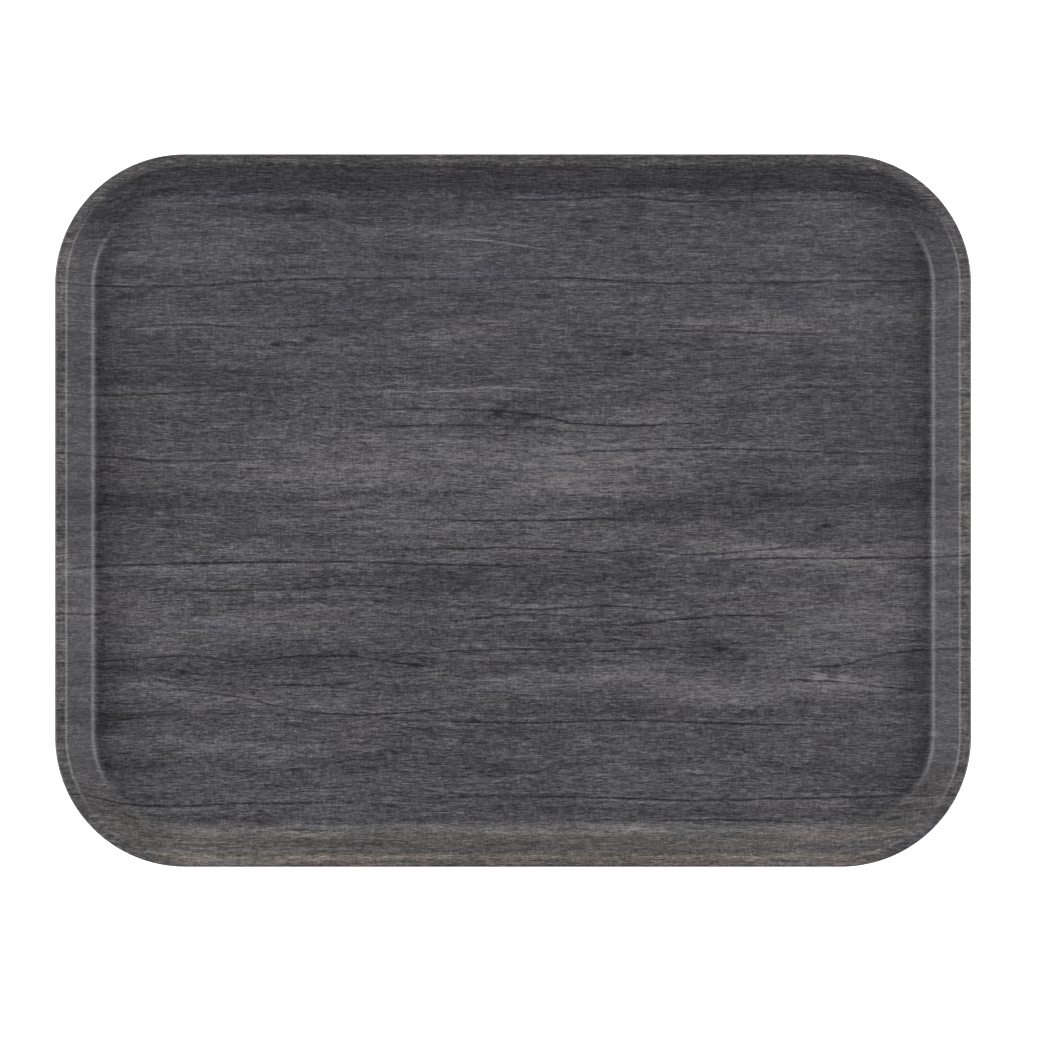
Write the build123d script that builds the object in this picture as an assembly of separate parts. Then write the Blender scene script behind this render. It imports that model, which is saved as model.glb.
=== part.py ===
from build123d import *
import os
from math import cos, radians, sin, sqrt

# Serving tray: a shallow dish with round corners and a narrow flat rim, hot-pressed in one stroke
# from a stack of resin-soaked paper sheets and then trimmed and rounded along its outer edge.
# Millimetres. +X runs along the tray, +Y across it and +Z up. The origin is the middle of the flat
# underside. Depths are measured square to the sheets, down from the serving face.

# outside of the finished tray
LENGTH = 457.2
WIDTH = 355.6
HEIGHT = 19.05
CORNER_RADIUS = 65.0

# the stack in the press, from the serving face down
OVERLAY = 0.15
DECOR = 0.20
CORE_SHEET = 0.25
CORE_SHEETS = 8
BACKING = 0.25

# the pressed profile
RIM_FLAT = 3.7
RIM_BEND_INSIDE = 0.9
FLOOR_BEND_INSIDE = 6.0
WALL_ANGLE = 54.5
EDGE_RADIUS = 1.0
WIDEST_EDGE_SHARE = 0.48

# what follows from them
STACK = OVERLAY + DECOR + CORE_SHEETS * CORE_SHEET + BACKING
RIM_BEND_OUTSIDE = RIM_BEND_INSIDE + STACK
LEAN = radians(WALL_ANGLE)
RISE = HEIGHT - STACK
BOTH_BENDS = RIM_BEND_OUTSIDE + FLOOR_BEND_INSIDE
WALL = (RISE - BOTH_BENDS * (1 - cos(LEAN))) / sin(LEAN)
RIM_TO_FLOOR = BOTH_BENDS * sin(LEAN) + WALL * cos(LEAN)
FLOOR_INSET = RIM_FLAT + RIM_TO_FLOOR
EDGE = min(EDGE_RADIUS, WIDEST_EDGE_SHARE * STACK)

# from the middle of the tray to the axes that the four corners turn about
CORNER_X = LENGTH / 2 - CORNER_RADIUS
CORNER_Y = WIDTH / 2 - CORNER_RADIUS


def stack_sheets():
    """Name, depth of the top face and thickness of every sheet, from the serving face down."""
    names = ["wear_overlay", "decor_sheet"]
    names += [f"core_sheet_{number}" for number in range(1, CORE_SHEETS + 1)]
    names += ["backing_sheet"]
    thicknesses = [OVERLAY, DECOR] + [CORE_SHEET] * CORE_SHEETS + [BACKING]
    depths = [sum(thicknesses[:place]) for place in range(len(thicknesses))]
    return list(zip(names, depths, thicknesses))


def bend_points(depth):
    """Start, middle and end of the floor bend and of the rim bend at a depth, with the edge at x = 0."""
    floor_radius = FLOOR_BEND_INSIDE + depth
    rim_radius = RIM_BEND_OUTSIDE - depth
    floor_axis = (-FLOOR_INSET, STACK + FLOOR_BEND_INSIDE)
    rim_axis = (-RIM_FLAT, HEIGHT - RIM_BEND_OUTSIDE)
    turns = (0, LEAN / 2, LEAN)
    floor_bend = [
        (floor_axis[0] + floor_radius * sin(turn), floor_axis[1] - floor_radius * cos(turn))
        for turn in turns
    ]
    rim_bend = [
        (rim_axis[0] - rim_radius * sin(turn), rim_axis[1] + rim_radius * cos(turn))
        for turn in reversed(turns)
    ]
    return floor_bend, rim_bend


def face_line(depth):
    """The line of the pressed shape at a depth: floor bend, wall, rim bend and rim flat."""
    floor_bend, rim_bend = bend_points(depth)
    rim_end = (0, HEIGHT - depth)
    return [
        ThreePointArc(*floor_bend),
        Line(floor_bend[-1], rim_bend[0]),
        ThreePointArc(*rim_bend),
        Line(rim_bend[-1], rim_end),
    ]


def rounded_edge():
    """Everything that the trimming cutter leaves: the whole section, round at its outer edge."""
    land = Pos(-EDGE, HEIGHT - STACK / 2) * Rectangle(2 * EDGE, STACK)
    corners = land.vertices().group_by(Axis.X)[-1]
    inboard = Pos(-EDGE - FLOOR_INSET / 2, HEIGHT / 2) * Rectangle(FLOOR_INSET, HEIGHT)
    return fillet(corners, EDGE) + inboard


def sheet_section(depth, thickness):
    """One sheet cut across its wall and rim, upright in the XZ plane with the tray's edge at x = 0."""
    upper, lower = face_line(depth), face_line(depth + thickness)
    inner_end = Line(lower[0] @ 0, upper[0] @ 0)
    outer_end = Line(upper[-1] @ 1, lower[-1] @ 1)
    strip = make_face(upper + lower + [inner_end, outer_end])
    return Plane.XZ * (strip & rounded_edge())


def tray_sheet(depth, thickness):
    """One whole sheet: the flat floor, four straight walls with their rim, and four turned corners."""
    section = sheet_section(depth, thickness)
    floor_outline = RectangleRounded(
        LENGTH - 2 * FLOOR_INSET, WIDTH - 2 * FLOOR_INSET, CORNER_RADIUS - FLOOR_INSET
    )
    floor = Pos(0, 0, STACK - depth - thickness) * extrude(floor_outline, thickness)
    end_wall = extrude(Pos(LENGTH / 2, 0, 0) * section, CORNER_Y, both=True)
    side_wall = extrude(Pos(WIDTH / 2, 0, 0) * section, CORNER_X, both=True)
    corner = revolve(Pos(CORNER_RADIUS, 0, 0) * section, Axis.Z, 90)
    around = []
    for quarter in range(4):
        turn = Rot(0, 0, 90 * quarter)
        wall = side_wall if quarter % 2 else end_wall
        x = CORNER_X if quarter in (0, 3) else -CORNER_X
        y = CORNER_Y if quarter in (0, 1) else -CORNER_Y
        around += [turn * wall, Pos(x, y, 0) * turn * corner]
    return floor.fuse(*around, glue=True)


def main():
    os.makedirs("parts", exist_ok=True)
    for name, depth, thickness in stack_sheets():
        export_step(tray_sheet(depth, thickness), f"parts/{name}.step")


main()
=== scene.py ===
"""A pressed laminate serving tray with a grey wood print, on a pale floor in soft studio light.

Metres, in the same frame as the solid model: +X along the tray, +Z up, the floor at Z = 0.
Lengths in the wood print are in millimetres, because that is how a printer would give them.
"""
from math import cos, dist, pi, radians, sin, sqrt

import bmesh
import bpy
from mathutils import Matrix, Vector


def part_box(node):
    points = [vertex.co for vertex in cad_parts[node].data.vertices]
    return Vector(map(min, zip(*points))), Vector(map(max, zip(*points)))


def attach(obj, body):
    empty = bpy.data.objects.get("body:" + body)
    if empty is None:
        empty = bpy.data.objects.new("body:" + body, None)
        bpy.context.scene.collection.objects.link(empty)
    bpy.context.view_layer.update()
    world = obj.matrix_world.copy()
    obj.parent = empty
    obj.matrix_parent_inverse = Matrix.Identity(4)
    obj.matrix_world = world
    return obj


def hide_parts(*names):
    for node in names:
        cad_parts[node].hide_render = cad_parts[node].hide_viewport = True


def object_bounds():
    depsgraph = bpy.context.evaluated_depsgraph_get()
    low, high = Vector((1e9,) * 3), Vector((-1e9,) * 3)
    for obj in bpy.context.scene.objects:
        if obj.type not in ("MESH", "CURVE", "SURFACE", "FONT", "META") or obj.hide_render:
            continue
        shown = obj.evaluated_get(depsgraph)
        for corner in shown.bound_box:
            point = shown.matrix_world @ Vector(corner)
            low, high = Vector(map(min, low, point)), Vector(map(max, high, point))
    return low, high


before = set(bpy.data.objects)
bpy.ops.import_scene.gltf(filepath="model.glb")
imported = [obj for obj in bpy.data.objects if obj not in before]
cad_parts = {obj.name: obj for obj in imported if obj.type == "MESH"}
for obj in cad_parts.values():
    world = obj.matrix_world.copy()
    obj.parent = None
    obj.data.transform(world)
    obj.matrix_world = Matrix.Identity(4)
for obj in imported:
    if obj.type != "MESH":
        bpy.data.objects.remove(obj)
CAD_LOW, CAD_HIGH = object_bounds()

MM = 0.001

# the pressed profile, as the sheets were bent
RIM_FLAT = 3.7 * MM
RIM_BEND_INSIDE = 0.9 * MM
FLOOR_BEND_INSIDE = 6.0 * MM
LEAN = radians(54.5)
CORNER_RADIUS = 65.0 * MM
EDGE = 1.0 * MM

# what the frame gives
LENGTH = CAD_HIGH.x - CAD_LOW.x
WIDTH = CAD_HIGH.y - CAD_LOW.y
HEIGHT = CAD_HIGH.z
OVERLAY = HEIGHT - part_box("decor_sheet")[1].z
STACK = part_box("wear_overlay")[0].z + OVERLAY

# what follows from them
RIM_BEND_OUTSIDE = RIM_BEND_INSIDE + STACK
BOTH_BENDS = RIM_BEND_OUTSIDE + FLOOR_BEND_INSIDE
WALL = (HEIGHT - STACK - BOTH_BENDS * (1 - cos(LEAN))) / sin(LEAN)
FLOOR_INSET = RIM_FLAT + BOTH_BENDS * sin(LEAN) + WALL * cos(LEAN)
CORNER_X = LENGTH / 2 - CORNER_RADIUS
CORNER_Y = WIDTH / 2 - CORNER_RADIUS

# how finely the bends and corners are divided
CORNER_STEPS = 32
RIM_STEPS = 10
FLOOR_STEPS = 14
EDGE_STEPS = 7

# an extra row of points this far from each end of a flat stretch keeps its shading flat
HOLD = 0.12 * MM
FLOOR_HOLD = 0.5 * MM

# points closer than this are merged
WELD = 0.0005 * MM

# the camera: its height above the rim, and where it hangs beside the tray's middle
CAMERA_HEIGHT = 1.45
CAMERA_X = 2.7 * MM
CAMERA_Y = -4.0 * MM
LENS = 100.96
SENSOR = 36

# the surround: its strength up to GLOW_TOP degrees above the horizon, and from DIM_FROM up
GLOW = 0.50
GLOW_TOP = 8
DIM = 0.06
DIM_FROM = 32

# the table top
TABLE_HALF_SIZE = 30.0
TABLE_COLOUR = (0.9, 0.9, 0.9, 1)
TABLE_ROUGHNESS = 0.8
TABLE_GLOW = 0.80


# ---------------------------------------------------------------- studio

def make_camera():
    """Straight above the tray, a little off its middle, with the tray's far side up."""
    data = bpy.data.cameras.new("camera")
    data.sensor_width = SENSOR
    data.lens = LENS
    camera = bpy.data.objects.new("camera", data)
    camera.location = (CAMERA_X, CAMERA_Y, HEIGHT + CAMERA_HEIGHT)
    bpy.context.scene.collection.objects.link(camera)
    bpy.context.scene.camera = camera


def area_light(name, azimuth, elevation, distance, width, height, power, colour):
    """A rectangular light that looks at the middle of the tray. Returns the light."""
    data = bpy.data.lights.new(name, "AREA")
    data.shape = "RECTANGLE"
    data.size = width
    data.size_y = height
    data.energy = power
    data.color = colour
    light = bpy.data.objects.new(name, data)
    turn, lift = radians(azimuth), radians(elevation)
    outward = Vector((sin(turn) * cos(lift), cos(turn) * cos(lift), sin(lift)))
    light.location = outward * distance
    light.rotation_mode = "QUATERNION"
    light.rotation_quaternion = outward.to_track_quat("Z", "Y")
    light.visible_camera = False
    bpy.context.scene.collection.objects.link(light)
    return light


def light_the_studio():
    """A softbox at each end, a low warm light and a dim panel beyond the far side, and a surround."""
    for name, azimuth in (("softbox_left", -90), ("softbox_right", 90)):
        area_light(
            name, azimuth, elevation=30, distance=1.5,
            width=1.00, height=0.80, power=21.5, colour=(1, 1, 1),
        )
    window = area_light(
        "warm_window", azimuth=0, elevation=7, distance=1.6,
        width=1.9, height=0.36, power=34, colour=(1.0, 0.92, 0.66),
    )
    # a net over the window keeps its glare off the clear layer
    window.visible_glossy = False
    area_light(
        "overhead_panel", azimuth=0, elevation=62, distance=1.7,
        width=1.0, height=0.35, power=3.6, colour=(1, 1, 1),
    )
    world = bpy.data.worlds.new("surround")
    bpy.context.scene.world = world
    world.use_nodes = True
    tree = world.node_tree
    direction = tree.nodes.new("ShaderNodeTexCoord")
    height = tree.nodes.new("ShaderNodeSeparateXYZ")
    fade = tree.nodes.new("ShaderNodeMapRange")
    fade.interpolation_type = "SMOOTHSTEP"
    fade.inputs["From Min"].default_value = sin(radians(GLOW_TOP))
    fade.inputs["From Max"].default_value = sin(radians(DIM_FROM))
    fade.inputs["To Min"].default_value = GLOW
    fade.inputs["To Max"].default_value = DIM
    background = tree.nodes["Background"]
    tree.links.new(direction.outputs["Generated"], height.inputs[0])
    tree.links.new(height.outputs["Z"], fade.inputs["Value"])
    tree.links.new(fade.outputs["Result"], background.inputs["Strength"])
    bpy.context.scene.view_settings.view_transform = "Standard"


# ---------------------------------------------------------------- materials

class Finish:
    """One material and the few kinds of node that its pattern is drawn with."""

    def __init__(self, name):
        self.material = bpy.data.materials.new(name)
        self.material.use_nodes = True
        self.tree = self.material.node_tree
        self.shader = self.tree.nodes["Principled BSDF"]

    def add(self, kind, sockets=None, **settings):
        """A new node of a kind, with its settings made and its sockets filled."""
        made = self.tree.nodes.new("ShaderNode" + kind)
        for name, value in settings.items():
            setattr(made, name, value)
        for name, value in (sockets or {}).items():
            self.put(value, made.inputs[name])
        return made

    def put(self, value, socket):
        """Links a socket, or sets a number, colour or vector."""
        if isinstance(value, bpy.types.NodeSocket):
            self.tree.links.new(value, socket)
        else:
            socket.default_value = value

    def maths(self, operation, *values):
        return self.add("Math", dict(enumerate(values)), operation=operation).outputs[0]

    def vector(self, operation, *values):
        made = self.add("VectorMath", dict(enumerate(values)), operation=operation)
        return made.outputs["Value" if operation == "LENGTH" else "Vector"]

    def total(self, parts):
        """The sum of (socket, share) pairs."""
        result = 0.0
        for socket, share in parts:
            result = self.maths("MULTIPLY_ADD", socket, share, result)
        return result

    def noise(self, place, length, height, seed, detail=2.0, rough=0.5):
        """Noise whose marks are about this long and high, in the units of place. Middle at 0."""
        cells = self.vector("MULTIPLY", place, (1 / length, 1 / height, 1.0))
        cells = self.vector("ADD", cells, (seed * 7.3, seed * 3.1, seed * 11.7))
        made = self.add(
            "TexNoise",
            {"Vector": cells, "Scale": 1.0, "Detail": detail, "Roughness": rough},
        )
        return self.maths("SUBTRACT", made.outputs[0], 0.5)

    def between(self, value, low, high, at_low=0.0, at_high=1.0):
        """Smoothly from at_low, where value is low, to at_high."""
        sockets = {
            "Value": value, "From Min": low, "From Max": high,
            "To Min": at_low, "To Max": at_high,
        }
        made = self.add("MapRange", sockets, interpolation_type="SMOOTHSTEP")
        return made.outputs["Result"]

    def curve(self, value, points):
        """A smooth line through points, level beyond both ends."""
        made = self.add("FloatCurve", {"Value": value})
        mapping = made.mapping
        mapping.clip_min_y = -1.0
        mapping.extend = "HORIZONTAL"
        line = mapping.curves[0].points
        line[0].location, line[1].location = points[0], points[-1]
        for across, up in points[1:-1]:
            line.new(across, up)
        mapping.update()
        return made.outputs[0]

    def ramp(self, value, stops):
        """Colours by value, from (place, colour) stops."""
        made = self.add("ValToRGB", {"Fac": value})
        elements = made.color_ramp.elements
        while len(elements) < len(stops):
            elements.new(0.5)
        for element, (place, colour) in zip(elements, stops):
            element.position = place
            element.color = (*colour, 1.0)
        return made.outputs["Color"]

    def mix(self, share, first, second, blend="MIX"):
        """Two colours mixed. The node keeps its colours in sockets 6 and 7, and gives them at 2."""
        made = self.add("Mix", data_type="RGBA", blend_type=blend)
        self.put(share, made.inputs[0])
        self.put(first, made.inputs[6])
        self.put(second, made.inputs[7])
        return made.outputs[2]

    def surface(self, colour, roughness, height=None, relief=0.0):
        """Colour, roughness and a fine relief, in metres, on the shader."""
        self.put(colour, self.shader.inputs["Base Color"])
        self.put(roughness, self.shader.inputs["Roughness"])
        if height is not None:
            bump = self.add("Bump", {"Height": height, "Distance": relief, "Strength": 1.0})
            self.put(bump.outputs["Normal"], self.shader.inputs["Normal"])


# The drawn features of the wood print. Every point is (x, y, strength), in millimetres from the
# middle of the flat sheet before it is pressed. Where the strength falls to 0 a line has a gap, and
# below 0 it is paler than the wood beside it.
CRACKS = (
    ((-240, 114, 0.8), (-205, 113, 1.0), (-170, 113, 0.7), (-120, 116, 1.0), (-75, 117, 0.8),
     (-20, 117, 0.5), (30, 117, 1.0), (70, 115, 0.7), (130, 115, 0.7), (190, 116, 0.6), (240, 117, 0.5)),
    ((-240, 59, 0.5), (-200, 58, 0.8), (-175, 59, 0.6), (-130, 61, 0.4), (-80, 60, 0), (80, 59, 0),
     (105, 60, 0.5), (140, 62, 0.5), (200, 62, 0.4)),
    ((-90, 50, 0.4), (-40, 51, 0.7), (-5, 50, 0.8), (18, 47, 0.6), (30, 44, 1.0), (60, 43, 1.0),
     (88, 44, 0.6)),
    ((-75, 42, 0.3), (-40, 43, 0.8), (-15, 43, 0.7), (5, 42, 0.3)),
    ((-240, 29, 0.9), (-205, 27, 1.0), (-170, 25, 0.7), (-120, 26, 0.5), (-90, 26, 0), (-10, 26, 0),
     (30, 29, 0.6), (75, 31, 0.8), (105, 31, 1.0), (150, 30, 0.9), (175, 29, 0.7), (205, 28, 0.4)),
    ((-118, -3, 0.3), (-60, -4, 0.5), (-30, -5, 0.8), (10, -5, 1.0), (45, -4, 0.8)),
    ((-65, -20, 0.3), (-20, -19, 0.9), (10, -19, 1.0), (45, -21, 0.8), (62, -20, 0.6), (90, -22, 1.0),
     (115, -21, 0.8), (142, -18, 0.5)),
    ((-225, -29, 0.4), (-180, -27, 1.0), (-130, -26, 1.0), (-80, -26, 0.8), (-45, -27, 1.0), (0, -28, 0.8),
     (25, -29, 0), (85, -26, 0), (110, -25, 0.6), (150, -24, 1.0), (195, -24, 0.9), (240, -22, 0.9)),
    ((-240, -51, 0.9), (-216, -52, 1.0), (-200, -52, 0), (-60, -57, 0), (-35, -56, 0.5), (-5, -53, 0.9),
     (32, -53, 0.7)),
    ((-185, -40, 0.3), (-130, -40, 0.6), (-60, -39, 0.5), (-30, -45, 0), (0, -50, 0.6), (45, -48, 0.9),
     (72, -50, 0.6)),
    ((52, -58, 0.5), (72, -56, 0.7), (105, -53, 0.9), (136, -54, 0.6)),
    ((-240, -76, 0.6), (-190, -75, 0.6), (-160, -73, 0.7), (-140, -76, 0.5), (-100, -73, 0.7),
     (-62, -76, 0.6), (-50, -78, 1.0), (-38, -79, 0.4)),
    ((-45, -72, 0.4), (0, -70, 0.7), (35, -71, 0.5), (75, -70, 0.7), (100, -74, 0), (135, -79, 0),
     (150, -79, 0.8), (166, -78, 0.9), (180, -74, 0.6), (200, -71, 1.0), (240, -69, 0.8)),
    ((-112, -88, 0.7), (-98, -88, 1.0), (-78, -87, 0.4), (-50, -87, 0), (110, -84, 0), (130, -85, 0.5),
     (158, -86, 0.8), (178, -88, 0.7), (205, -91, 0.5)),
    ((-182, -90, 0.6), (-160, -91, 0.8), (-135, -95, 0.8), (-108, -101, 0.6), (-80, -103, 1.0),
     (-58, -102, 0.9), (-38, -100, 0.5)),
    ((-45, -106, 0.3), (10, -107, 0.8), (60, -106, 0.8), (95, -107, 1.0), (130, -108, 0.8),
     (155, -108, 0.4)),
    ((-62, 60, -0.4), (-35, 60, -0.7), (-12, 62, -0.8), (14, 61, -0.5)),
    ((-25, 137, -0.5), (-5, 135, -1.0), (14, 132, -0.5)),
    ((144, -84, 0), (153, -85, -0.8), (159, -85, -0.3), (167, -86, -0.7), (176, -87, 0)),
    ((-240, -144, 0.6), (-215, -146, 0.8), (-180, -149, 1.0), (-145, -148, 0.7), (-90, -147, 0.5),
     (-50, -145, 0), (5, -144, 0.5), (50, -145, 0.8), (95, -146, 1.0), (150, -145, 0.8), (200, -144, 0.6)),
    ((92, -156, 0.8), (115, -156, 0.9), (140, -157, 0.5)),
    ((-5, 157, 0.4), (30, 157, 0.8), (55, 158, 0.7), (85, 156, 1.0), (115, 156, 0.8), (165, 157, 0.5)),
    ((-198, 92, 0.5), (-165, 94, 0.7), (-140, 93, 0.3), (-118, 92, 0.7), (-90, 94, 0.4), (-60, 94, 0),
     (60, 92, 0), (85, 91, 0.4), (110, 90, 0.7), (150, 89, 0.4)),
)

# Broad lighter and darker streaks: half the height of each, then its points. The last four are painted
# light and shade.
STREAKS = (
    (7, ((-190, 128, 0.3), (-110, 131, 0.6), (-60, 136, 0.6), (-15, 138, 0.5), (30, 128, 0.3))),
    (8, ((-60, 88, 0.2), (-30, 88, 0.6), (20, 98, 0.3), (70, 102, 0.5), (115, 94, 0.8), (160, 98, 0.5),
         (205, 104, 0.4))),
    (4, ((-65, 55, 0.2), (-42, 57, 0.6), (5, 61, 0.9), (30, 54, 0.3), (62, 49, 0.8), (80, 49, 0.3))),
    (15, ((-135, 22, 0.2), (-90, 22, 0.5), (-40, 26, 0.6), (20, 20, 0.5), (70, 24, 0.4), (120, 22, 0.1))),
    (3, ((-215, 31, 0.5), (-180, 29, 0.7), (-150, 28, 0.4), (-120, 22, 0.3), (-92, 22, 0.7), (-50, 26, 0.2),
         (0, 24, 0.3), (25, 25, 0.8), (68, 24, 0.8), (90, 21, 0.3))),
    (5, ((-60, -4, 0.2), (-22, -8, 0.5), (-5, 6, 0.2), (18, 15, 0.7), (36, 15, 0.3))),
    (6, ((40, -14, 0.3), (75, -15, 0.6), (105, -15, 0.8), (135, -24, 0.9), (180, -27, 0.6),
         (210, -27, 0.3))),
    (2, ((-225, -31, 0.5), (-175, -30, 0.9), (-110, -29, 0.6), (-40, -25, 0.5), (60, -24, 0),
         (105, -22, 0.5), (160, -21, 0.7), (240, -19, 0.6))),
    (12, ((-205, -56, 0.4), (-165, -58, 0.6), (-95, -52, 0.5), (-60, -50, 0), (80, -50, 0.2),
          (125, -52, 0.5), (180, -52, 0.5), (225, -50, 0.4))),
    (6, ((-205, -88, 0.3), (-170, -93, 0.7), (-140, -96, 0.4), (-90, -96, 0.2), (-20, -90, 0.4),
         (20, -86, 0.9), (60, -82, 1.0), (85, -90, 0.9), (120, -93, 0.7), (145, -90, 0.4),
         (172, -89, 0.8), (190, -90, 0.3))),
    (6, ((-200, -118, 0.4), (-140, -119, 0.6), (-100, -122, 0.3), (-70, -108, 0.4), (-45, -105, 0.6),
         (-20, -103, 0.2))),
    (7, ((-240, 6, -0.7), (-190, 5, -0.9), (-140, 2, -0.8), (-95, 1, -0.2), (-40, 0, 0), (35, 0, -0.3),
         (70, 1, -1.0), (125, 5, -0.9), (185, 8, -1.0), (240, 10, -0.9))),
    (10, ((-240, 68, -0.5), (-190, 68, -0.7), (-145, 66, -0.4), (-45, 46, -0.2), (-5, 50, -0.8),
          (15, 51, -0.3))),
    (10, ((-60, -30, -0.2), (-20, -36, -0.5), (40, -30, -0.5), (65, -28, -0.3), (100, -70, -0.5),
          (120, -70, -0.2))),
    (9, ((60, -132, 0.3), (120, -126, 0.5), (190, -120, 0.4), (225, -118, 0.2))),
    (30, ((20, -104, 0.2), (110, -84, 0.5), (190, -40, 0.6), (235, 10, 0.5))),
    (5, ((-240, -74, -0.5), (-180, -78, -0.7), (-120, -75, -0.9), (-60, -75, -0.8), (-40, -78, -0.3))),
    (6, ((-240, -104, -0.6), (-205, -104, -0.9), (-170, -104, -0.2), (-10, -104, -0.3), (40, -100, -0.7),
         (90, -105, -0.4), (140, -104, -0.2))),
    (7, ((-40, -128, -0.3), (10, -130, -0.6), (90, -124, -0.5), (150, -132, -0.4))),
    (8, ((-160, 152, -0.3), (-110, 152, -0.8), (-40, 154, -0.6), (60, 152, -0.5), (120, 156, -0.4))),
    # painted shade: the darker band along the far wall and rim, which face away from the lamps
    (5, ((-240, 184, -0.6), (-100, 184, -1.1), (60, 184, -1.1), (240, 184, -0.6))),
    # painted light and highlight: the paler bands along the near floor bend and wall, and along the near
    # rim
    (5, ((-240, -163, 0.4), (-100, -163, 0.6), (0, -162, 0.9), (120, -163, 0.9), (240, -164, 0.6))),
    (4, ((-240, -185, 0.6), (0, -185, 1.0), (240, -185, 0.8))),
    # painted light: the paler middle of the floor, away from the shade of the walls
    (30, ((-150, 6, 0.0), (-90, 14, 0.4), (0, 10, 0.7), (80, 18, 0.4), (130, 24, 0.0))),
)

# Knots: middle, half length, half height, darkness and how far the grain is pushed apart.
# A darkness below 0 is a pale fleck.
KNOTS = (
    (-107, 152, 12, 5, 0.9, 0.5),
    (-102, 86, 10, 4, 0.5, 0.5),
    (-119, 84, 8, 3, 0.9, 0.6),
    (-7, 50, 14, 5, 0.5, 0.7),
    (58, 79, 12, 4, 0.9, 0.6),
    (37, 146, 12, 3, 0.5, 0.4),
    (157, -8, 7, 4, 0.5, 0.8),
    (-167, -82, 10, 4, 0.6, 0.6),
    (-49, -78, 9, 3, 0.7, 0.6),
    (104, -70, 9, 3, 0.9, 0.5),
    (162, -79, 7, 4, 0.7, 0.7),
    (147, -86, 5, 2, 0.8, 0.3),
    (154, -84, 6, 3, -2.0, 0.2),
    (167, -84, 6, 3, -1.5, 0.2),
)

# The square of sheet that the drawn features are placed on, in millimetres.
SHEET_SPAN = 520.0

# How far past its last point a drawn line fades out.
GAP_FADE = 14.0

# The height, in millimetres, that the drawn lines wobble within.
WOBBLE = 1.6

# A crack's darkness, from its middle out to CRACK_REACH. Below 0 the wood beside it is paler.
CRACK_REACH = 5.0
CRACK_PROFILE = ((0.0, 1.0), (0.05, 0.75), (0.13, 0.0), (0.24, -0.20), (0.50, -0.12), (1.0, 0.0))

# A streak fades out over this many times its half height.
STREAK_REACH = 1.6

# A knot's soft halo and its small eye, as shares of its darkness, and the eye's ends and the
# reach of the parted grain, as shares of the knot's size.
HALO_SHARE = 0.6
EYE_SHARE = 0.8
EYE_INSIDE = 0.08
EYE_OUTSIDE = 0.38
PARTED_REACH = 2.2

# Where painted warm light turns the near rim browner, in millimetres from the middle.
WARM_LIGHT_FROM = -176
WARM_LIGHT_FULL = -182

# A painted highlight: the rim is paler where the lamps' sheen lies along the rim bend, in millimetres from
# the sheet's edge, strongest between the second and the third distance below. Round the corners the painted
# highlight is weaker.
RIM_SHEEN_FROM = 7.2
RIM_SHEEN_FULL = 5.2
RIM_SHEEN_FADES = 4.4
RIM_SHEEN_ENDS = 0.4
RIM_SHEEN_AT_EDGE = 0.2
RIM_SHEEN_AT_CORNERS = 0.35

# The print's greys, from the bottom of a crack to the palest fibre, and what tints them.
PRINT_GREYS = (
    (0.00, (0.0098, 0.0097, 0.0129)),
    (0.25, (0.0282, 0.0278, 0.0334)),
    (0.50, (0.0590, 0.0577, 0.0658)),
    (0.75, (0.1086, 0.1058, 0.1166)),
    (1.00, (0.1810, 0.1755, 0.1875)),
)
WARM_TINT = (1.03, 0.995, 0.985, 1)
COOL_TINT = (0.96, 0.99, 1.05, 1)
# painted warm light: the tint of the near rim
WARM_LIGHT_TINT = (1.08, 1.02, 0.93, 1)
# painted highlight: the tint of the paler band along the rim bend
RIM_SHEEN_TINT = (1.38, 1.34, 1.20, 1)


def on_sheet(value):
    """A place on the sheet as a share of its span."""
    return value / SHEET_SPAN + 0.5


def follow_line(finish, x_share, y_share, points):
    """How far each point of the sheet is from a drawn line, and the line's strength beside it."""
    path = finish.curve(x_share, [(on_sheet(x), on_sheet(y)) for x, y, _ in points])
    away = finish.maths("ABSOLUTE", finish.maths("SUBTRACT", y_share, path))
    ends = [(points[0][0] - GAP_FADE, 0.0), (points[-1][0] + GAP_FADE, 0.0)]
    strengths = sorted([(x, strength) for x, _, strength in points] + ends)
    return away, finish.curve(x_share, [(on_sheet(x), strength) for x, strength in strengths])


def draw_cracks(finish, x_share, y_share):
    """Thin dark lines, each with a paler edge beside it."""
    cracks = 0.0
    for points in CRACKS:
        away, strength = follow_line(finish, x_share, y_share, points)
        share = finish.maths("MULTIPLY", away, SHEET_SPAN / CRACK_REACH)
        darkness = finish.curve(share, CRACK_PROFILE)
        cracks = finish.maths("MULTIPLY_ADD", darkness, strength, cracks)
    return cracks


def draw_streaks(finish, x_share, y_share):
    """Broad soft streaks, above 0 where paler; a few are painted light and shade rather than wood."""
    streaks = 0.0
    for half_height, points in STREAKS:
        away, strength = follow_line(finish, x_share, y_share, points)
        reach = STREAK_REACH * half_height / SHEET_SPAN
        streak = finish.between(away, 0.0, reach, 1.0, 0.0)
        streaks = finish.maths("MULTIPLY_ADD", streak, strength, streaks)
    return streaks


def draw_knots(finish, place):
    """The dark middles of the knots, and how far each point's grain is pushed aside."""
    dark, push = 0.0, 0.0
    for x, y, half_length, half_height, darkness, spread in KNOTS:
        offset = finish.vector("SUBTRACT", place, (x, y, 0))
        scaled = finish.vector("MULTIPLY", offset, (1 / half_length, 1 / half_height, 0))
        away = finish.vector("LENGTH", scaled)
        halo = finish.between(away, 0.0, 1.0, HALO_SHARE * darkness, 0.0)
        dark = finish.maths("ADD", dark, halo)
        eye = finish.between(away, EYE_INSIDE, EYE_OUTSIDE, EYE_SHARE * darkness, 0.0)
        dark = finish.maths("ADD", dark, eye)
        around = finish.between(away, 0.0, PARTED_REACH, -spread, 0.0)
        rise = finish.add("SeparateXYZ", {0: offset}).outputs["Y"]
        push = finish.maths("MULTIPLY_ADD", rise, around, push)
    return dark, push


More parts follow.
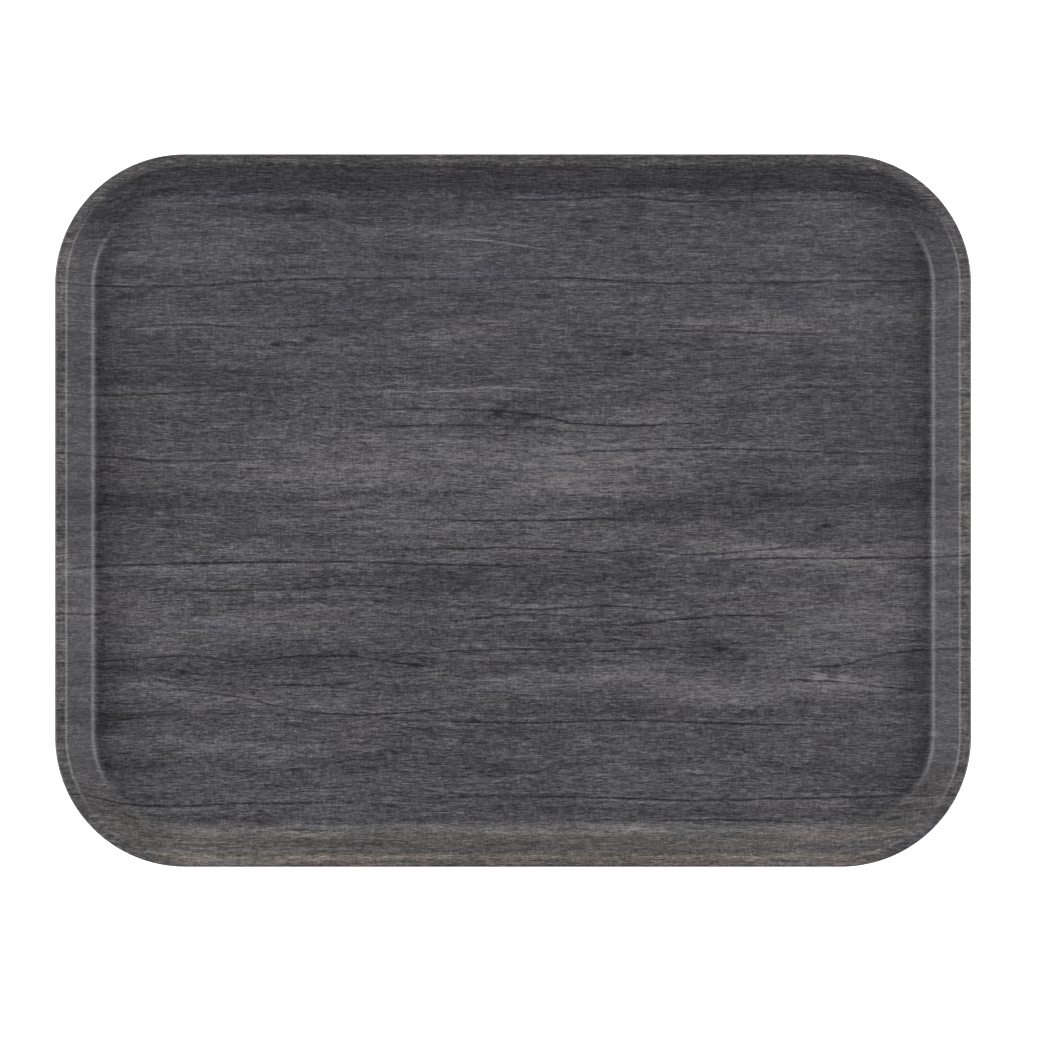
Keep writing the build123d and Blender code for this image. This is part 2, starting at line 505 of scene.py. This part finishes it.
def draw_fibres(finish, place, grain):
    """The marks that cover the whole sheet, from single fibres to broad bands, and each one's share."""
    dashes = finish.noise(grain, length=4.6, height=0.60, seed=4, detail=2.0, rough=0.6)
    ticks = finish.noise(grain, length=13, height=1.3, seed=5, detail=2.0, rough=0.6)
    streams = finish.noise(grain, length=42, height=3.2, seed=6, detail=3.0, rough=0.6)
    bands = finish.noise(grain, length=130, height=9, seed=7, detail=3.0, rough=0.55)
    clouds = finish.noise(grain, length=60, height=30, seed=8)
    weave = finish.noise(place, length=0.8, height=5.0, seed=9, detail=1.0)
    specks = finish.noise(place, length=1.2, height=0.5, seed=12, detail=1.0)

    # only the darkest and the palest threads show, as hairs
    threads = finish.noise(grain, length=17, height=0.60, seed=13, detail=1.0)
    dark_hairs = finish.between(threads, 0.07, 0.20)
    pale_hairs = finish.between(threads, -0.08, -0.22)
    return [
        (dashes, 1.25),
        (ticks, 0.46),
        (dark_hairs, -0.22),
        (pale_hairs, 0.20),
        (streams, 0.50),
        (bands, 0.30),
        (clouds, 0.26),
        (weave, 0.36),
        (specks, 0.90),
    ]


def painted_rim_sheen(finish, place):
    """The painted highlight along the rim bend, standing in for the lamps' sheen on it, at each point of
    the rim: 0 to 1.
    """
    corner = (CORNER_X / MM, CORNER_Y / MM, 0)
    axis = finish.vector("MINIMUM", place, corner)
    axis = finish.vector("MAXIMUM", axis, tuple(-value for value in corner))
    outward = finish.vector("SUBTRACT", place, axis)
    reach = finish.vector("LENGTH", outward)
    rim = (CORNER_RADIUS - FLOOR_INSET + BOTH_BENDS * LEAN + WALL + RIM_FLAT) / MM
    painted_sheen = finish.maths(
        "MULTIPLY",
        finish.between(reach, rim - RIM_SHEEN_FROM, rim - RIM_SHEEN_FULL),
        finish.between(reach, rim - RIM_SHEEN_FADES, rim - RIM_SHEEN_ENDS, 1.0, RIM_SHEEN_AT_EDGE),
    )

    # x times y is 0 beside the straight sides, and half of rim squared in the middle of a corner
    sides = finish.add("SeparateXYZ", {0: outward}).outputs
    diagonal = finish.maths("ABSOLUTE", finish.maths("MULTIPLY", sides["X"], sides["Y"]))
    side_end = 0.1 * rim ** 2
    corner_middle = 0.4 * rim ** 2
    along_sides = finish.between(diagonal, side_end, corner_middle, 1.0, RIM_SHEEN_AT_CORNERS)
    return finish.maths("MULTIPLY", painted_sheen, along_sides)


def printed_wood():
    """Dark grey wood print under a satin clear layer, with a painted highlight along the rim and painted
    warm light on the near rim.
    """
    finish = Finish("grey_wood_print")
    flat = finish.add("Attribute", attribute_name="flat_place").outputs["Vector"]
    place = finish.vector("SCALE", flat)
    place.node.inputs["Scale"].default_value = 1 / MM
    knots, push = draw_knots(finish, place)

    # the grain wanders a little, and parts round each knot
    wander = finish.total([
        (finish.noise(place, length=170, height=55, seed=1), 9.0),
        (finish.noise(place, length=42, height=16, seed=2), 2.0),
        (push, 1.0),
    ])
    shift = finish.add("CombineXYZ", {"Y": wander}).outputs[0]
    grain = finish.vector("ADD", place, shift)

    # drawn features keep nearly to their places
    wobble = finish.noise(place, length=24, height=60, seed=3)
    parts = finish.add("SeparateXYZ", {0: place}).outputs
    x_share = finish.maths("MULTIPLY_ADD", parts["X"], 1 / SHEET_SPAN, 0.5)
    y_moved = finish.maths("MULTIPLY_ADD", wobble, WOBBLE, parts["Y"])
    y_share = finish.maths("MULTIPLY_ADD", y_moved, 1 / SHEET_SPAN, 0.5)
    cracks = draw_cracks(finish, x_share, y_share)
    streaks = draw_streaks(finish, x_share, y_share)

    fibres = draw_fibres(finish, place, grain)
    tone = finish.total(fibres + [(streaks, 0.17), (cracks, -0.45), (knots, -0.40)])
    tone = finish.maths("ADD", tone, 0.5)
    colour = finish.ramp(tone, PRINT_GREYS)
    hue = finish.noise(place, length=60, height=14, seed=10, detail=2.0)
    warm = finish.between(finish.maths("MULTIPLY_ADD", streaks, 0.10, hue), 0.02, 0.30)
    cool = finish.between(hue, -0.02, -0.20)
    colour = finish.mix(warm, colour, WARM_TINT, "MULTIPLY")
    colour = finish.mix(cool, colour, COOL_TINT, "MULTIPLY")

    # painted warm light: the near rim turned browner, standing in for the warm lamp's light on it
    painted_warm_light = finish.between(parts["Y"], WARM_LIGHT_FULL, WARM_LIGHT_FROM, 1.0, 0.0)
    colour = finish.mix(painted_warm_light, colour, WARM_LIGHT_TINT, "MULTIPLY")

    # painted highlight: the rim made paler where the lamps' sheen lies on the rim bend
    painted_sheen = painted_rim_sheen(finish, place)
    colour = finish.mix(painted_sheen, colour, RIM_SHEEN_TINT, "MULTIPLY")

    pores = finish.noise(place, length=1.6, height=1.0, seed=11, detail=2.0)
    dashes = fibres[0][0]
    roughness = finish.maths("MULTIPLY_ADD", dashes, 0.20, 0.43)
    finish.surface(colour, roughness, pores, 0.12 * MM)
    return finish.material


def trimmed_edge():
    """The printed sheet where the cutter went through it: dark, with a faint brown fibre."""
    finish = Finish("trimmed_print_edge")
    place = finish.add("TexCoord").outputs["Object"]
    fibres = finish.noise(place, length=2.0 * MM, height=2.0 * MM, seed=21)
    colour = finish.ramp(finish.maths("ADD", fibres, 0.5), (
        (0.2, (0.030, 0.026, 0.024)),
        (0.8, (0.080, 0.068, 0.056)),
    ))
    finish.surface(colour, finish.maths("ADD", fibres, 0.55), fibres, 0.02 * MM)
    return finish.material


def kraft_core(number):
    """Brown kraft paper, soaked in resin and pressed hard, every other sheet a shade paler."""
    finish = Finish(f"kraft_core_{number}")
    place = finish.add("TexCoord").outputs["Object"]
    fibres = finish.noise(place, length=1.5 * MM, height=1.5 * MM, seed=30 + number, detail=3.0)
    stains = finish.noise(place, length=30 * MM, height=30 * MM, seed=50 + number)
    tone = finish.total([(fibres, 0.9), (stains, 0.6), (1.0, 0.5 + 0.05 * (number % 2))])
    colour = finish.ramp(tone, (
        (0.2, (0.050, 0.032, 0.018)),
        (0.5, (0.105, 0.068, 0.038)),
        (0.8, (0.190, 0.128, 0.075)),
    ))
    finish.surface(colour, finish.maths("MULTIPLY_ADD", fibres, 0.3, 0.55), fibres, 0.03 * MM)
    return finish.material


def dark_backing():
    """The charcoal backing sheet, with the fine even grain of its press plate."""
    finish = Finish("charcoal_backing")
    place = finish.add("TexCoord").outputs["Object"]
    pips = finish.noise(place, length=0.7 * MM, height=0.7 * MM, seed=61, detail=2.0)
    clouds = finish.noise(place, length=60 * MM, height=60 * MM, seed=62, detail=3.0)
    rubs = finish.noise(place, length=9 * MM, height=1.2 * MM, seed=63, detail=3.0)
    tone = finish.total([(pips, 0.5), (clouds, 0.5), (rubs, 0.3), (1.0, 0.5)])
    colour = finish.ramp(tone, (
        (0.1, (0.018, 0.018, 0.019)),
        (0.5, (0.034, 0.033, 0.034)),
        (0.9, (0.060, 0.058, 0.058)),
    ))
    roughness = finish.total([(clouds, 0.25), (rubs, 0.2), (1.0, 0.48)])
    finish.surface(colour, roughness, pips, 0.05 * MM)
    return finish.material


# ---------------------------------------------------------------- sheets

def trimmed_back(depth):
    """How far in from the tray's edge the rounded edge lies at a depth."""
    from_face = min(depth, STACK - depth, EDGE)
    return EDGE - sqrt(max(0.0, EDGE ** 2 - (EDGE - from_face) ** 2))


def toward(start, end, distance):
    """The point at a distance from start, on the way to end."""
    share = distance / dist(start, end)
    return tuple(a + (b - a) * share for a, b in zip(start, end))


def cut_end(middle, depth):
    """Points (inset, height) up or down a sheet's cut end, closer together towards its face."""
    shares = [sin(pi / 2 * step / EDGE_STEPS) for step in range(EDGE_STEPS + 1)]
    depths = [middle + (depth - middle) * share for share in shares]
    return [(trimmed_back(d), HEIGHT - d) for d in depths]


def pressed_line(depth):
    """Points (inset, height) along the pressed shape at a depth: rim, rim bend, wall, floor bend."""
    rim_radius = RIM_BEND_OUTSIDE - depth
    floor_radius = FLOOR_BEND_INSIDE + depth
    rim = [(trimmed_back(depth) + HOLD, HEIGHT - depth), (RIM_FLAT - HOLD, HEIGHT - depth)]
    rim_bend = [
        (RIM_FLAT + rim_radius * sin(turn), HEIGHT - RIM_BEND_OUTSIDE + rim_radius * cos(turn))
        for turn in (LEAN * step / RIM_STEPS for step in range(RIM_STEPS + 1))
    ]
    floor_bend = [
        (FLOOR_INSET - floor_radius * sin(turn), STACK + FLOOR_BEND_INSIDE - floor_radius * cos(turn))
        for turn in (LEAN * step / FLOOR_STEPS for step in range(FLOOR_STEPS, -1, -1))
    ]
    wall = [toward(rim_bend[-1], floor_bend[0], HOLD), toward(floor_bend[0], rim_bend[-1], HOLD)]
    floor = [(FLOOR_INSET + FLOOR_HOLD, STACK - depth)]
    return rim + rim_bend + wall + floor_bend + floor


def flat_reaches(line):
    """How far each point of a line was from its corner's axis while the sheet was still flat."""
    reaches = [CORNER_RADIUS - line[-1][0]]
    for outer, inner in zip(line[-2::-1], line[:0:-1]):
        reaches.append(reaches[-1] + dist(outer, inner))
    return reaches[::-1]


def mark_flat_place(verts, layer, reach):
    """Keeps in each point where it lay on the flat sheet, so that the print follows the bends."""
    for vert in verts:
        axis = Vector((
            max(-CORNER_X, min(CORNER_X, vert.co.x)), max(-CORNER_Y, min(CORNER_Y, vert.co.y)), 0,
        ))
        outward = Vector((vert.co.x, vert.co.y, 0)) - axis
        vert[layer] = axis + outward.normalized() * reach


def add_half(mesh, middle, depth, cut_depth):
    """One face of a sheet, from the middle of its cut end: the outline, set in ring by ring."""
    end = cut_end(middle, depth)
    line = end + pressed_line(depth)
    reaches = flat_reaches(line)
    layer = mesh.verts.layers.float_vector["flat_place"]
    earlier = set(mesh.faces)
    inset, height = line[0]
    corners = bmesh.ops.create_grid(mesh, x_segments=1, y_segments=1, size=1.0)["verts"]
    for vert in corners:
        vert.co = (vert.co.x * (LENGTH / 2 - inset), vert.co.y * (WIDTH / 2 - inset), height)
    bmesh.ops.bevel(
        mesh, geom=corners, offset=CORNER_RADIUS - inset, offset_type="OFFSET",
        segments=CORNER_STEPS, profile=0.5, affect="VERTICES", material=-1, clamp_overlap=False,
    )
    face = next(face for face in mesh.faces if face not in earlier)
    outward = 1 if depth < middle else -1
    if face.normal.z * outward < 0:
        bmesh.ops.reverse_faces(mesh, faces=[face])
    mark_flat_place(face.verts, layer, reaches[0])
    for step in range(1, len(line)):
        (inset, height), (next_inset, next_height) = line[step - 1:step + 1]
        ring = bmesh.ops.inset_region(
            mesh, faces=[face], thickness=next_inset - inset,
            depth=(next_height - height) * outward, use_even_offset=True, use_boundary=True,
        )["faces"]
        is_cut = step < len(end) and HEIGHT - next_height > cut_depth
        for quad in ring:
            quad.smooth = True
            quad.material_index = 1 if is_cut else 0
        mark_flat_place(face.verts, layer, reaches[step])
    face.smooth = True


def pressed_sheet(name, top, bottom, materials, replaced, slot_name, cut_depth=STACK):
    """A sheet of the stack between two depths, as one closed piece."""
    mesh = bmesh.new()
    mesh.verts.layers.float_vector.new("flat_place")
    middle = (top + bottom) / 2
    add_half(mesh, middle, top, cut_depth)
    add_half(mesh, middle, bottom, cut_depth)
    bmesh.ops.remove_doubles(mesh, verts=mesh.verts, dist=WELD)
    data = bpy.data.meshes.new(name)
    mesh.to_mesh(data)
    mesh.free()
    for material in materials:
        data.materials.append(material)
    piece = bpy.data.objects.new(name, data)
    bpy.context.scene.collection.objects.link(piece)
    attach(piece, "root")
    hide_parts(*replaced)
    return piece


def depths_of(node):
    """The depths of the upper and the lower face of a sheet, below the serving face."""
    low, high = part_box(node)
    return HEIGHT - high.z, STACK - low.z


def build_tray():
    """Every sheet of the stack, from the printed face down to the backing."""
    pressed_sheet(
        "wood_face", 0.0, depths_of("decor_sheet")[1], [printed_wood(), trimmed_edge()],
        ["wear_overlay", "decor_sheet"], "wood_print", cut_depth=OVERLAY,
    )
    cores = sorted(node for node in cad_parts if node.startswith("core_sheet_"))
    for number, node in enumerate(cores, 1):
        pressed_sheet(
            f"kraft_sheet_{number}", *depths_of(node), [kraft_core(number)], [node], "kraft_core",
        )
    pressed_sheet(
        "underside_sheet", *depths_of("backing_sheet"), [dark_backing()],
        ["backing_sheet"], "dark_backing",
    )


def make_floor():
    """A wide pale table top under the tray."""
    mesh = bmesh.new()
    bmesh.ops.create_grid(mesh, x_segments=2, y_segments=2, size=TABLE_HALF_SIZE)
    data = bpy.data.meshes.new("table_top")
    mesh.to_mesh(data)
    mesh.free()
    finish = Finish("pale_table")
    finish.surface(TABLE_COLOUR, TABLE_ROUGHNESS)
    finish.shader.inputs["Emission Color"].default_value = (1, 1, 1, 1)
    finish.shader.inputs["Emission Strength"].default_value = TABLE_GLOW
    data.materials.append(finish.material)
    table = bpy.data.objects.new("table_top", data)
    bpy.context.scene.collection.objects.link(table)


make_camera()
light_the_studio()
make_floor()
build_tray()
